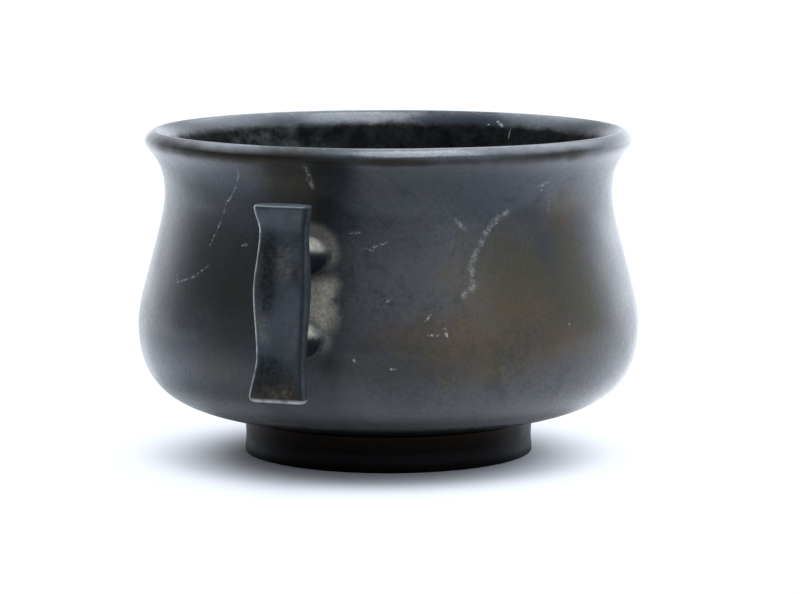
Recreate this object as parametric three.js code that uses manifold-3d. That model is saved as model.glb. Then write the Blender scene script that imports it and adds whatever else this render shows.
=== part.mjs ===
// A round bronze censer: a bellied bowl with a drawn-in throat and a rolled lip, a plain foot ring
// soldered beneath it, and a pair of halberd-shaped handles, each a waisted upright bar on two arms.
// Each arm is held by a rivet that goes through the bowl's wall. Millimetres, +Z up, the foot's
// underside at z = 0, the axis at x = y = 0, and the handles on the X axis.

import * as THREE from "three";
import { mergeVertices } from "three/addons/utils/BufferGeometryUtils.js";
import Module from "manifold-3d";

// Bowl: the outer wall's radii and the heights where it has them
const HEIGHT = 82.7;
const BELLY_RADIUS = 64;
const BELLY_HEIGHT = 33.3;
const THROAT_RADIUS = 57;
const THROAT_HEIGHT = 66.9;
const MOUTH_RADIUS = 62;
const LIP_RISE = 2.7; // the lip's crest above the mouth's widest ring
const LIP_INSET = 2.8; // the lip's crest inside the mouth's widest ring
const WALL = 3.8;
const FLOOR = 3.8;
const FLOOR_FLAT_RADIUS = 22;
const SEAT_SLOPE = THREE.MathUtils.degToRad(19.3); // the belly's rise where it leaves the foot

// Bowl: how far each curve keeps its end's direction, as a share of the span it crosses
const SEAT_SHARE = 0.344;
const BELLY_UNDER_SHARE = 0.911;
const BELLY_OVER_SHARE = 0.234;
const THROAT_UNDER_SHARE = 0.259;
const THROAT_OVER_SHARE = 0.698;
const MOUTH_UNDER_SHARE = 0.203;
const LIP_ROUND_SHARE = 0.45;
const LIP_INNER_SHARE = 0.35;
const THROAT_INNER_SHARE = 0.5;
const FLOOR_SHARE = 0.48;
const BELLY_INNER_SHARE = 0.84;

// Foot ring, and the register under the bowl that centres it
const FOOT_HEIGHT = 9.1;
const FOOT_RADIUS = 36.9;
const FOOT_TOP_RADIUS = 37.3;
const FOOT_HOLLOW = 0.3; // depth of the waist in its outer face
const FOOT_WALL = 4;
const FOOT_EDGE = 0.7; // rounding of the edges it stands on
const REGISTER_DEPTH = 1.2;
const REGISTER_WIDTH = 3;

// Handle bar: sizes at its ends, its two waists and the swell between them
const BAR_BOTTOM = 24.1;
const BAR_TOP = 70.3;
const BAR_REACH = 18; // its outer face at the lower end, beyond the belly
const BAR_LEAN = 4.1; // how much nearer the axis its upper end stands
const BAR_WIDTH = 14.4;
const BAR_WAIST_WIDTH = 12.2;
const BAR_SWELL_WIDTH = 13.8;
const BAR_THICKNESS = 4.3;
const BAR_WAIST_THICKNESS = 3.9;
const BAR_SWELL_THICKNESS = 4.6;
const BAR_WAIST_HOLLOW = 1.6; // the outer face behind its chord at each waist
const BAR_SWELL_HOLLOW = 0.3;
const BAR_FOOT_CORNER = 1.5; // rounding of the lower end's corners
const BAR_HEAD_CORNER = 0.5;
const BAR_EDGE = 0.6; // how far that rounding draws in the front and back faces
const BAR_END_TILT = THREE.MathUtils.degToRad(7.6); // each end face turns up or down and outward
const bar_place_shares = [0, 0.225, 0.57, 0.86, 1]; // end, waist, swell, waist, end
const bar_back_round_shares = [0.5, 0.4, 0.35, 0.6, 0.85]; // 0 square, 1 a half oval
const BAR_FACE_ROUND_SHARE = 0.33;

// Handle arms, which rise a little from the wall to the bar
const ARM_HALF_WIDTH = 4.7;
const ARM_HALF_HEIGHT = 4;
const ARM_ROOT_FLARE = 1.7;
const ARM_HEAD_FLARE = 0.8;
const ARM_RISE = THREE.MathUtils.degToRad(7);
const UPPER_ARM_SHARE = 0.69; // of the bar's height, where it leaves the wall
const LOWER_ARM_SHARE = 0.27;

// Rivets
const RIVET_RADIUS = 1.6;
const RIVET_HEAD_RADIUS = 3.4;
const RIVET_HEAD_HEIGHT = 1.5;
const RIVET_DEPTH = 6; // into the arm, from the wall's outer face

const CLEARANCE = 0.3; // between pieces that meet on curved faces
const OVERRUN = 3; // how far a cutter passes what it cuts

// Facets
const ROUND_STEPS = 64;
const SMALL_ROUND_STEPS = 16;
const CURVE_STEPS = 6;
const BAR_STEPS = 22;
const BAR_SIDE_STEPS = 20;
const END_STEPS = 3;

const wasm = await Module();
wasm.setup();

// A closed geometry as a manifold solid, and back.
function toSolid(geometry) {
  geometry.deleteAttribute("normal");
  geometry.deleteAttribute("uv");
  const merged = mergeVertices(geometry);
  return new wasm.Manifold(
    new wasm.Mesh({
      numProp: 3,
      vertProperties: new Float32Array(merged.attributes.position.array),
      triVerts: new Uint32Array(merged.index.array),
    }),
  );
}

function toGeometry(solid) {
  const mesh = solid.getMesh();
  const geometry = new THREE.BufferGeometry();
  geometry.setAttribute("position", new THREE.BufferAttribute(mesh.vertProperties, 3));
  geometry.setIndex(new THREE.BufferAttribute(mesh.triVerts, 1));
  return geometry;
}

// A profile in (radius, height), counter-clockwise, revolved about Z.
function revolve(points, steps) {
  return new THREE.LatheGeometry(points, steps).rotateX(Math.PI / 2);
}

// A profile in (radius, distance), revolved about X.
function revolveAlongX(points, steps) {
  return revolve(points, steps).rotateY(Math.PI / 2);
}

// The outer wall, from the foot's seat to the lip's crest, drawn onto a path that stands at the seat.
// grow moves it outwards and upwards.
function drawOuterWall(path, grow) {
  const seat = FOOT_TOP_RADIUS + grow;
  const belly = BELLY_RADIUS + grow;
  const throat = THROAT_RADIUS + grow;
  const mouth = MOUTH_RADIUS + grow;
  const mouthHeight = HEIGHT - LIP_RISE;
  const crest = MOUTH_RADIUS - LIP_INSET;
  const top = HEIGHT + grow;
  const seatReach = SEAT_SHARE * (BELLY_RADIUS - FOOT_TOP_RADIUS);
  const under = BELLY_HEIGHT - FOOT_HEIGHT;
  const between = THROAT_HEIGHT - BELLY_HEIGHT;
  const over = mouthHeight - THROAT_HEIGHT;
  path.bezierCurveTo(
    seat + seatReach * Math.cos(SEAT_SLOPE),
    FOOT_HEIGHT + seatReach * Math.sin(SEAT_SLOPE),
    belly,
    BELLY_HEIGHT - BELLY_UNDER_SHARE * under,
    belly,
    BELLY_HEIGHT,
  );
  path.bezierCurveTo(
    belly,
    BELLY_HEIGHT + BELLY_OVER_SHARE * between,
    throat,
    THROAT_HEIGHT - THROAT_UNDER_SHARE * between,
    throat,
    THROAT_HEIGHT,
  );
  path.bezierCurveTo(
    throat,
    THROAT_HEIGHT + THROAT_OVER_SHARE * over,
    mouth,
    mouthHeight - MOUTH_UNDER_SHARE * over,
    mouth,
    mouthHeight,
  );
  path.bezierCurveTo(
    mouth,
    mouthHeight + LIP_ROUND_SHARE * (top - mouthHeight),
    crest + LIP_ROUND_SHARE * (mouth - crest),
    top,
    crest,
    top,
  );
}

// The inner wall, from the lip's crest down to the flat of the floor. shrink moves it inwards.
function drawInnerWall(path, shrink) {
  const crest = MOUTH_RADIUS - LIP_INSET - shrink;
  const throat = THROAT_RADIUS - WALL - shrink;
  const belly = BELLY_RADIUS - WALL - shrink;
  const floor = FOOT_HEIGHT + FLOOR;
  const between = THROAT_HEIGHT - BELLY_HEIGHT;
  path.bezierCurveTo(
    crest - LIP_INNER_SHARE * (crest - throat),
    HEIGHT,
    throat,
    THROAT_HEIGHT + THROAT_INNER_SHARE * (HEIGHT - THROAT_HEIGHT),
    throat,
    THROAT_HEIGHT,
  );
  path.bezierCurveTo(
    throat,
    THROAT_HEIGHT - THROAT_UNDER_SHARE * between,
    belly,
    BELLY_HEIGHT + BELLY_OVER_SHARE * between,
    belly,
    BELLY_HEIGHT,
  );
  path.bezierCurveTo(
    belly,
    BELLY_HEIGHT - BELLY_INNER_SHARE * (BELLY_HEIGHT - floor),
    FLOOR_FLAT_RADIUS + FLOOR_SHARE * (belly - FLOOR_FLAT_RADIUS),
    floor,
    FLOOR_FLAT_RADIUS,
    floor,
  );
}

// The outer wall alone, as points, to find its radius and lean at a height.
const outerPath = new THREE.Path();
outerPath.moveTo(FOOT_TOP_RADIUS, FOOT_HEIGHT);
drawOuterWall(outerPath, 0);
const outerPoints = outerPath.getPoints(CURVE_STEPS);

function wallAt(height) {
  const after = outerPoints.findIndex((point) => point.y >= height);
  const low = outerPoints[after - 1];
  const high = outerPoints[after];
  const share = (height - low.y) / (high.y - low.y);
  return {
    radius: THREE.MathUtils.lerp(low.x, high.x, share),
    lean: Math.atan2(low.x - high.x, high.y - low.y),
  };
}

// The body of the bowl without its hollow, grown by a clearance, to cut what sits against it.
function bowlEnvelope(grow) {
  const path = new THREE.Path();
  path.moveTo(0, FOOT_HEIGHT);
  path.lineTo(FOOT_TOP_RADIUS + grow, FOOT_HEIGHT);
  drawOuterWall(path, grow);
  path.lineTo(0, HEIGHT + grow);
  return toSolid(revolve(path.getPoints(CURVE_STEPS), ROUND_STEPS));
}

// The bowl's hollow as a solid, shrunk by a clearance.
function bowlHollow(shrink) {
  const path = new THREE.Path();
  path.moveTo(0, HEIGHT);
  path.lineTo(MOUTH_RADIUS - LIP_INSET - shrink, HEIGHT);
  drawInnerWall(path, shrink);
  path.lineTo(0, FOOT_HEIGHT + FLOOR);
  return toSolid(revolve(path.getPoints(CURVE_STEPS).reverse(), ROUND_STEPS));
}

// A rivet's place: on the wall's outer face at an arm's height, its X axis square to the wall.
function rivetFrame(height) {
  const wall = wallAt(height);
  const frame = new THREE.Matrix4().makeRotationY(-wall.lean);
  frame.setPosition(wall.radius, 0, height);
  return frame;
}

// What a drill removes for a rivet, from inside the bowl to the end of the arm's socket, turned
// about the bowl's axis.
function rivetHole(height, turn) {
  const radius = RIVET_RADIUS + CLEARANCE;
  const depth = RIVET_DEPTH + CLEARANCE;
  const back = WALL + OVERRUN;
  const hole = new THREE.CylinderGeometry(radius, radius, back + depth, SMALL_ROUND_STEPS);
  hole.rotateZ(-Math.PI / 2);
  hole.translate((depth - back) / 2, 0, 0);
  hole.applyMatrix4(rivetFrame(height));
  return toSolid(hole.rotateZ(turn));
}

// A rivet: a shank through the wall into its arm, and a low domed head that follows the wall inside.
function rivet(height) {
  const face = -WALL * Math.cos(wallAt(height).lean);
  const crown = face - RIVET_HEAD_HEIGHT;
  const middle = face - RIVET_HEAD_HEIGHT / 2;
  const head = new THREE.Path();
  head.moveTo(0, crown);
  head.quadraticCurveTo(RIVET_HEAD_RADIUS, crown, RIVET_HEAD_RADIUS, face);
  head.lineTo(RIVET_HEAD_RADIUS, face + OVERRUN);
  head.lineTo(0, face + OVERRUN);
  const shank = new THREE.Path();
  shank.moveTo(0, middle);
  shank.lineTo(RIVET_RADIUS, middle);
  shank.lineTo(RIVET_RADIUS, RIVET_DEPTH);
  shank.lineTo(0, RIVET_DEPTH);
  const [headSolid, shankSolid] = [head, shank].map((path) => {
    const geometry = revolveAlongX(path.getPoints(CURVE_STEPS), SMALL_ROUND_STEPS);
    return toSolid(geometry.applyMatrix4(rivetFrame(height)));
  });
  return toGeometry(headSolid.intersect(bowlHollow(CLEARANCE)).add(shankSolid));
}

const barLength = BAR_TOP - BAR_BOTTOM;
const ARM_HEIGHTS = {
  upper: BAR_BOTTOM + UPPER_ARM_SHARE * barLength,
  lower: BAR_BOTTOM + LOWER_ARM_SHARE * barLength,
};
const SIDE_TURNS = { right: 0, left: Math.PI };

// The bowl, with a register below and holes for the four rivets.
function bowl() {
  const registerRadius = FOOT_TOP_RADIUS - FOOT_WALL - CLEARANCE;
  const registerFoot = FOOT_HEIGHT - REGISTER_DEPTH;
  const path = new THREE.Path();
  path.moveTo(0, FOOT_HEIGHT);
  path.lineTo(registerRadius - REGISTER_WIDTH - REGISTER_DEPTH, FOOT_HEIGHT);
  path.lineTo(registerRadius - REGISTER_WIDTH, registerFoot);
  path.lineTo(registerRadius, registerFoot);
  path.lineTo(registerRadius, FOOT_HEIGHT);
  path.lineTo(FOOT_TOP_RADIUS, FOOT_HEIGHT);
  drawOuterWall(path, 0);
  drawInnerWall(path, 0);
  path.lineTo(0, FOOT_HEIGHT + FLOOR);
  let solid = toSolid(revolve(path.getPoints(CURVE_STEPS), ROUND_STEPS));
  for (const height of Object.values(ARM_HEIGHTS)) {
    for (const turn of Object.values(SIDE_TURNS)) {
      solid = solid.subtract(rivetHole(height, turn));
    }
  }
  return toGeometry(solid);
}

// The foot ring: a slightly waisted band, flat on top where the bowl sits.
function footRing() {
  const inner = FOOT_TOP_RADIUS - FOOT_WALL;
  const waist = FOOT_RADIUS - FOOT_HOLLOW;
  const waistHeight = FOOT_HEIGHT / 2;
  const path = new THREE.Path();
  path.moveTo(inner + FOOT_EDGE, 0);
  path.lineTo(FOOT_RADIUS - FOOT_EDGE, 0);
  path.quadraticCurveTo(FOOT_RADIUS, 0, FOOT_RADIUS, FOOT_EDGE);
  path.quadraticCurveTo(FOOT_RADIUS, waistHeight, waist, waistHeight);
  path.quadraticCurveTo(waist, FOOT_HEIGHT - FOOT_EDGE, FOOT_TOP_RADIUS, FOOT_HEIGHT);
  path.lineTo(inner, FOOT_HEIGHT);
  path.lineTo(inner, FOOT_EDGE);
  path.lineTo(inner + FOOT_EDGE, 0);
  return revolve(path.getPoints(END_STEPS), ROUND_STEPS);
}

// A size along the bar, given at its five places, eased between them.
function alongBar(share, sizes) {
  const next = Math.max(1, bar_place_shares.findIndex((place) => place >= share));
  const from = bar_place_shares[next - 1];
  const step = THREE.MathUtils.smoothstep(share, from, bar_place_shares[next]);
  return THREE.MathUtils.lerp(sizes[next - 1], sizes[next], step);
}

// A size at the bar's five places, from its values at the ends, the waists and the swell.
function endToEnd(end, waist, swell) {
  return [end, waist, swell, waist, end];
}

// The bar's outline at a share of its height: where its outer face stands and how big it is.
function barSection(share) {
  const thicknesses = endToEnd(BAR_THICKNESS, BAR_WAIST_THICKNESS, BAR_SWELL_THICKNESS);
  const widths = endToEnd(BAR_WIDTH, BAR_WAIST_WIDTH, BAR_SWELL_WIDTH);
  const hollows = endToEnd(0, BAR_WAIST_HOLLOW, BAR_SWELL_HOLLOW);
  const chord = BELLY_RADIUS + BAR_REACH - BAR_LEAN * share;
  return {
    halfWidth: alongBar(share, widths) / 2,
    halfThickness: alongBar(share, thicknesses) / 2,
    face: chord - alongBar(share, hollows),
    height: BAR_BOTTOM + share * barLength,
    tilt: BAR_END_TILT * (2 * share - 1),
    backRound: alongBar(share, bar_back_round_shares),
  };
}

// One ring of points round the bar: nearly square corners outward and a rounder back. draw, from
// 0 to 1, is how far the ring is drawn in towards an end face with the corner rounding given.
function barRing(share, draw, corner) {
  const section = barSection(share);
  const halfDepth = section.halfThickness - BAR_EDGE * draw;
  const halfWidth = section.halfWidth - corner * draw;
  const points = [];
  for (let i = 0; i < BAR_SIDE_STEPS; i++) {
    const angle = (2 * Math.PI * i) / BAR_SIDE_STEPS;
    const outward = Math.cos(angle);
    const across = Math.sin(angle);
    const power = outward > 0 ? BAR_FACE_ROUND_SHARE : section.backRound;
    const depth = halfDepth * Math.sign(outward) * Math.abs(outward) ** power;
    const side = halfWidth * Math.sign(across) * Math.abs(across) ** power;
    const x = section.face - section.halfThickness + depth * Math.cos(section.tilt);
    points.push(new THREE.Vector3(x, side, section.height - depth * Math.sin(section.tilt)));
  }
  return points;
}

// The bar: rings joined in order from the lower end to the upper, with both ends' corners rounded.
function bar() {
  const footShare = BAR_FOOT_CORNER / barLength;
  const headShare = BAR_HEAD_CORNER / barLength;
  const foot = [];
  const middle = [];
  const head = [];
  for (let i = 0; i < END_STEPS; i++) {
    const turn = (Math.PI / 2) * (i / END_STEPS);
    const rise = 1 - Math.cos(turn);
    const draw = 1 - Math.sin(turn);
    foot.push(barRing(footShare * rise, draw, BAR_FOOT_CORNER));
    head.unshift(barRing(1 - headShare * rise, draw, BAR_HEAD_CORNER));
  }
  for (let i = 0; i <= BAR_STEPS; i++) {
    const share = THREE.MathUtils.lerp(footShare, 1 - headShare, i / BAR_STEPS);
    middle.push(barRing(share, 0, 0));
  }
  return toSolid(loft([...foot, ...middle, ...head]));
}

// A closed surface through rings of equal count, capped flat at both ends.
function loft(rings) {
  const count = rings[0].length;
  const centres = [rings[0], rings.at(-1)].map((ring) =>
    ring.reduce((sum, point) => sum.add(point), new THREE.Vector3()).divideScalar(count),
  );
  const points = [...rings.flat(), ...centres];
  const first = rings.length * count;
  const faces = [];
  for (let i = 0; i < count; i++) {
    const next = (i + 1) % count;
    for (let j = 0; j < rings.length - 1; j++) {
      const low = j * count;
      const high = low + count;
      faces.push(low + i, low + next, high + next, low + i, high + next, high + i);
    }
    const top = first - count;
    faces.push(first, next, i, first + 1, top + i, top + next);
  }
  const geometry = new THREE.BufferGeometry().setFromPoints(points);
  return geometry.setIndex(faces);
}

// An arm: an oval stem from inside the wall to the bar's middle, flared at both ends.
function arm(height) {
  const wall = wallAt(height).radius;
  const section = barSection((height - BAR_BOTTOM) / barLength);
  const reach = (section.face - section.halfThickness - wall) / Math.cos(ARM_RISE);
  const root = ARM_HALF_WIDTH + ARM_ROOT_FLARE;
  const head = ARM_HALF_WIDTH + ARM_HEAD_FLARE;
  const path = new THREE.Path();
  path.moveTo(0, -OVERRUN);
  path.lineTo(root, -OVERRUN);
  path.lineTo(root, 0);
  path.quadraticCurveTo(ARM_HALF_WIDTH, 0, ARM_HALF_WIDTH, reach / 2);
  path.quadraticCurveTo(ARM_HALF_WIDTH, reach, head, reach);
  path.lineTo(0, reach);
  const geometry = revolveAlongX(path.getPoints(CURVE_STEPS), SMALL_ROUND_STEPS);
  geometry.scale(1, 1, ARM_HALF_HEIGHT / ARM_HALF_WIDTH);
  geometry.rotateY(-ARM_RISE);
  return toSolid(geometry.translate(wall, 0, height));
}

// A handle: the bar and both arms in one casting, cut to the wall, with a socket in each arm.
function handle() {
  const heights = Object.values(ARM_HEIGHTS);
  const whole = heights.reduce((solid, height) => solid.add(arm(height)), bar());
  const seated = whole.subtract(bowlEnvelope(CLEARANCE));
  return toGeometry(heights.reduce((solid, height) => solid.subtract(rivetHole(height, 0)), seated));
}

function bronze(color, roughness) {
  return new THREE.MeshStandardMaterial({ color, roughness, metalness: 0.85 });
}

function add(group, name, geometry, material) {
  const mesh = new THREE.Mesh(geometry, material);
  mesh.name = name;
  group.add(mesh);
}

const censer = new THREE.Group();
add(censer, "bowl", bowl(), bronze(0x34383b, 0.45));
add(censer, "foot_ring", footRing(), bronze(0x191c1e, 0.5));
for (const [side, turn] of Object.entries(SIDE_TURNS)) {
  const pair = new THREE.Group();
  pair.rotation.z = turn;
  add(pair, `${side}_handle`, handle(), bronze(0x3a4148, 0.4));
  for (const [place, height] of Object.entries(ARM_HEIGHTS)) {
    add(pair, `${side}_${place}_rivet`, rivet(height), bronze(0x3b362c, 0.55));
  }
  censer.add(pair);
}

export default censer;
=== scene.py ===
"""A round bronze censer with halberd handles, dressed for a studio photograph.

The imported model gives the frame. The bowl, the foot ring, the two handles and the four rivet heads
are built again here as smooth, finely divided meshes with small irregularities of casting and wear,
and take node materials for the old bronze. Metres, +Z up, the foot's underside at z = 0. Angles
round the bowl count from the left handle, counter-clockwise seen from above.
"""

import math

import bpy
import numpy as np
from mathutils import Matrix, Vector, noise


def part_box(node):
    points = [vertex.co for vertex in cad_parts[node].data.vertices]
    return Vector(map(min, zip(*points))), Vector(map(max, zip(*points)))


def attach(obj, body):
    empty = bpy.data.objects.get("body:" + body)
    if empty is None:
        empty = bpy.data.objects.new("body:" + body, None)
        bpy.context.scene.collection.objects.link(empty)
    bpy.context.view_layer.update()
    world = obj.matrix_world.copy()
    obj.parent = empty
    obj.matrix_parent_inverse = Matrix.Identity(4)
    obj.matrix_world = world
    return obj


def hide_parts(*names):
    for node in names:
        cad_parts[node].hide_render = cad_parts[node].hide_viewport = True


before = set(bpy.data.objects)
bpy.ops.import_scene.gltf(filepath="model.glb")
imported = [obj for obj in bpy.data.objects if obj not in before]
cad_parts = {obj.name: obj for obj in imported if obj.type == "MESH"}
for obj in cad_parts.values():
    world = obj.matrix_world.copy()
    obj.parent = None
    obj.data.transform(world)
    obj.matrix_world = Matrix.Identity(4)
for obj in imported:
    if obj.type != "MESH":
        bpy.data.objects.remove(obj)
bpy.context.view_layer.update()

MM = 0.001

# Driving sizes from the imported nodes
bowl_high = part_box("bowl")[1]
foot_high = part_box("foot_ring")[1]
handle_low, handle_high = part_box("right_handle")
HEIGHT = bowl_high.z
BELLY_RADIUS = bowl_high.y
SEAT_HEIGHT = foot_high.z
SEAT_RADIUS = foot_high.y

# Bowl: the outer wall's radii and heights, and how far each curve keeps its end's direction
BELLY_HEIGHT = 33.3 * MM
THROAT_RADIUS = 57.0 * MM
THROAT_HEIGHT = 66.9 * MM
MOUTH_RADIUS = 62.0 * MM
LIP_RISE = 2.7 * MM
LIP_INSET = 2.8 * MM
WALL = 3.8 * MM
FLOOR = 3.8 * MM
FLOOR_FLAT_RADIUS = 22.0 * MM
SEAT_SLOPE = math.radians(19.3)
SEAT_SHARE = 0.344
BELLY_UNDER_SHARE = 0.911
BELLY_OVER_SHARE = 0.234
THROAT_UNDER_SHARE = 0.259
THROAT_OVER_SHARE = 0.698
MOUTH_UNDER_SHARE = 0.203
LIP_SIDE_SHARE = 0.34
LIP_TOP_SHARE = 0.36
LIP_INNER_SHARE = 0.35
THROAT_INNER_SHARE = 0.5
FLOOR_SHARE = 0.48
BELLY_INNER_SHARE = 0.84

# Foot ring and the register above it
FOOT_RADIUS = 36.8 * MM
FOOT_HOLLOW = 0.2 * MM
FOOT_WALL = 4.0 * MM
FOOT_EDGE = 0.5 * MM
FOOT_TUCK = 0.3 * MM
REGISTER_DEPTH = 1.2 * MM
REGISTER_WIDTH = 3.0 * MM
REGISTER_GAP = 0.3 * MM

# Handle bar, at its ends, its two waists and the swell between them
BAR_BOTTOM = handle_low.z
BAR_TOP = handle_high.z
BAR_LENGTH = BAR_TOP - BAR_BOTTOM
BAR_REACH = 18.0 * MM
BAR_LEAN = 4.1 * MM
BAR_WIDTHS = [14.4 * MM, 12.2 * MM, 13.8 * MM, 12.2 * MM, 14.4 * MM]
BAR_THICKNESSES = [4.3 * MM, 3.9 * MM, 4.6 * MM, 3.9 * MM, 4.3 * MM]
BAR_HOLLOWS = [0.0, 1.6 * MM, 0.3 * MM, 1.6 * MM, 0.0]
BAR_PLACE_SHARES = [0.0, 0.225, 0.57, 0.86, 1.0]
BAR_BACK_ROUND_SHARES = [0.5, 0.4, 0.35, 0.6, 0.85]
BAR_FACE_ROUND_SHARE = 0.42
BAR_FOOT_CORNER = 1.5 * MM
BAR_HEAD_CORNER = 0.5 * MM
BAR_EDGE = 0.6 * MM
BAR_END_TILT = math.radians(7.6)

# Handle arms
ARM_HALF_WIDTH = 4.7 * MM
ARM_HALF_HEIGHT = 4.0 * MM
ARM_ROOT_FLARE = 1.3 * MM
ARM_HEAD_FLARE = 0.8 * MM
ARM_ROOT_SHARE = 0.55
ARM_HEAD_SHARE = 0.5
ARM_RISE = math.radians(7.0)
UPPER_ARM_SHARE = 0.705
LOWER_ARM_SHARE = 0.278
UPPER_ARM_HEIGHT = BAR_BOTTOM + UPPER_ARM_SHARE * BAR_LENGTH
LOWER_ARM_HEIGHT = BAR_BOTTOM + LOWER_ARM_SHARE * BAR_LENGTH
ARM_HEIGHTS = (UPPER_ARM_HEIGHT, LOWER_ARM_HEIGHT)
ARM_END = 73.0 * MM  # how far from the axis an arm meets its bar
JOINT_DEPTH = 2.0 * MM
JOINT_REACH = 2.5 * MM

# Rivet heads
RIVET_HEAD_RADIUS = 3.4 * MM
RIVET_HEAD_HEIGHT = 1.1 * MM

# Meshes
ROUND_STEPS = 384
PROFILE_STEP = 1.0 * MM
LIP_STEP = 0.4 * MM
FOOT_STEP = 0.25 * MM
HANDLE_VOXEL = 0.22 * MM
SUNK = 0.5 * MM  # how far a piece that meets the wall reaches into it

# Camera, as fitted to the photograph's outline
CAMERA_AZIMUTH = math.radians(-71.0)
CAMERA_DISTANCE = 0.900
CAMERA_HEIGHT = 0.15715
CAMERA_PITCH = math.radians(7.464)
CAMERA_PAN = math.radians(0.187)
LENS = 159.57  # mm, before Blender's usual 36 mm sensor

# Studio: the floor's zones, a softbox overhead, and how bright the world is in each direction
FLOOR_HALF = 6.0
FLOOR_SHADE_RADIUS = 0.031
FLOOR_WHITE_RADIUS = 0.075
FLOOR_SHADE_ASIDE = 0.003
FLOOR_SHADE_FORWARD = 0.010
MIRRORED_SHADE_RADIUS = 0.046
MIRRORED_WHITE_RADIUS = 0.068
FLOOR_BACK_LEVEL = 1.27
FLOOR_FRONT_LEVEL = 0.85
FLOOR_RIGHT_SHARE = 1.2
FLOOR_LEFT_SHARE = 0.55
FLOOR_FAR_SHARE = 0.62
FLOOR_SEEN_LEVEL = 1.12
SOFTBOX_SIDE = 0.62
SOFTBOX_FAR = 0.95
SOFTBOX_TILT = math.radians(7.0)
SOFTBOX_LEAN = math.radians(12.0)
SOFTBOX_POWER = 5.5
DARK_LEVEL = 0.17
BACK_LEFT_LEVEL = 0.88
BACK_RIGHT_LEVEL = 1.22
BACK_FADE = 0.25
RIGHT_LEVEL = 0.8
LEFT_LEVEL = 0.42
LEFT_FADE = 0.2
TOP_LEVEL = 2.0
KEY_LEVEL = 0.6
KEY_SIDE = math.radians(14.0)
KEY_RISE = math.radians(32.0)


# Curves and surfaces of revolution


def bezier(start, leave, arrive, end, step):
    """Points along a cubic curve about step apart, without its start."""
    a, b, c, d = np.array([start, leave, arrive, end], float)
    length = np.linalg.norm(b - a) + np.linalg.norm(c - b) + np.linalg.norm(d - c)
    count = max(4, round(length / step))
    t = np.linspace(0, 1, count + 1)[1:, None]
    return (1 - t) ** 3 * a + 3 * t * (1 - t) ** 2 * b + 3 * t**2 * (1 - t) * c + t**3 * d


def line(start, end, step):
    """Points along a straight line about step apart, without its start."""
    a, b = np.array([start, end], float)
    count = max(1, round(np.linalg.norm(b - a) / step))
    t = np.linspace(0, 1, count + 1)[1:, None]
    return a + (b - a) * t


def outer_wall():
    """The bowl's outer wall as (radius, height), from the foot's seat to the lip's crest."""
    seat_reach = SEAT_SHARE * (BELLY_RADIUS - SEAT_RADIUS)
    under = BELLY_HEIGHT - SEAT_HEIGHT
    between = THROAT_HEIGHT - BELLY_HEIGHT
    mouth_height = HEIGHT - LIP_RISE
    over = mouth_height - THROAT_HEIGHT
    crest = MOUTH_RADIUS - LIP_INSET
    seat = (SEAT_RADIUS, SEAT_HEIGHT)
    belly = (BELLY_RADIUS, BELLY_HEIGHT)
    throat = (THROAT_RADIUS, THROAT_HEIGHT)
    mouth = (MOUTH_RADIUS, mouth_height)
    top = (crest, HEIGHT)
    seat_leave = (
        SEAT_RADIUS + seat_reach * math.cos(SEAT_SLOPE),
        SEAT_HEIGHT + seat_reach * math.sin(SEAT_SLOPE),
    )
    belly_arrive = (BELLY_RADIUS, BELLY_HEIGHT - BELLY_UNDER_SHARE * under)
    belly_leave = (BELLY_RADIUS, BELLY_HEIGHT + BELLY_OVER_SHARE * between)
    throat_arrive = (THROAT_RADIUS, THROAT_HEIGHT - THROAT_UNDER_SHARE * between)
    throat_leave = (THROAT_RADIUS, THROAT_HEIGHT + THROAT_OVER_SHARE * over)
    mouth_arrive = (MOUTH_RADIUS, mouth_height - MOUTH_UNDER_SHARE * over)
    mouth_leave = (MOUTH_RADIUS, mouth_height + LIP_SIDE_SHARE * LIP_RISE)
    top_arrive = (crest + LIP_TOP_SHARE * LIP_INSET, HEIGHT)
    return np.concatenate([
        [seat],
        bezier(seat, seat_leave, belly_arrive, belly, PROFILE_STEP),
        bezier(belly, belly_leave, throat_arrive, throat, PROFILE_STEP),
        bezier(throat, throat_leave, mouth_arrive, mouth, PROFILE_STEP),
        bezier(mouth, mouth_leave, top_arrive, top, LIP_STEP),
    ])


def inner_wall():
    """The bowl's inner wall as (radius, height), from the lip's crest to the middle of the floor."""
    crest = MOUTH_RADIUS - LIP_INSET
    throat_radius = THROAT_RADIUS - WALL
    belly_radius = BELLY_RADIUS - WALL
    floor_height = SEAT_HEIGHT + FLOOR
    between = THROAT_HEIGHT - BELLY_HEIGHT
    top = (crest, HEIGHT)
    throat = (throat_radius, THROAT_HEIGHT)
    belly = (belly_radius, BELLY_HEIGHT)
    floor = (FLOOR_FLAT_RADIUS, floor_height)
    top_leave = (crest - LIP_INNER_SHARE * (crest - throat_radius), HEIGHT)
    throat_arrive = (throat_radius, THROAT_HEIGHT + THROAT_INNER_SHARE * (HEIGHT - THROAT_HEIGHT))
    throat_leave = (throat_radius, THROAT_HEIGHT - THROAT_UNDER_SHARE * between)
    belly_arrive = (belly_radius, BELLY_HEIGHT + BELLY_OVER_SHARE * between)
    belly_leave = (belly_radius, BELLY_HEIGHT - BELLY_INNER_SHARE * (BELLY_HEIGHT - floor_height))
    floor_arrive = (FLOOR_FLAT_RADIUS + FLOOR_SHARE * (belly_radius - FLOOR_FLAT_RADIUS), floor_height)
    return np.concatenate([
        [top],
        bezier(top, top_leave, throat_arrive, throat, 2 * LIP_STEP),
        bezier(throat, throat_leave, belly_arrive, belly, PROFILE_STEP),
        bezier(belly, belly_leave, floor_arrive, floor, PROFILE_STEP),
        line(floor, (0, floor_height), 2 * PROFILE_STEP),
    ])


OUTER = outer_wall()
INNER = inner_wall()


def outer_radius(height):
    """The outer wall's radius at a height."""
    return np.interp(height, OUTER[:, 1], OUTER[:, 0])


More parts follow.
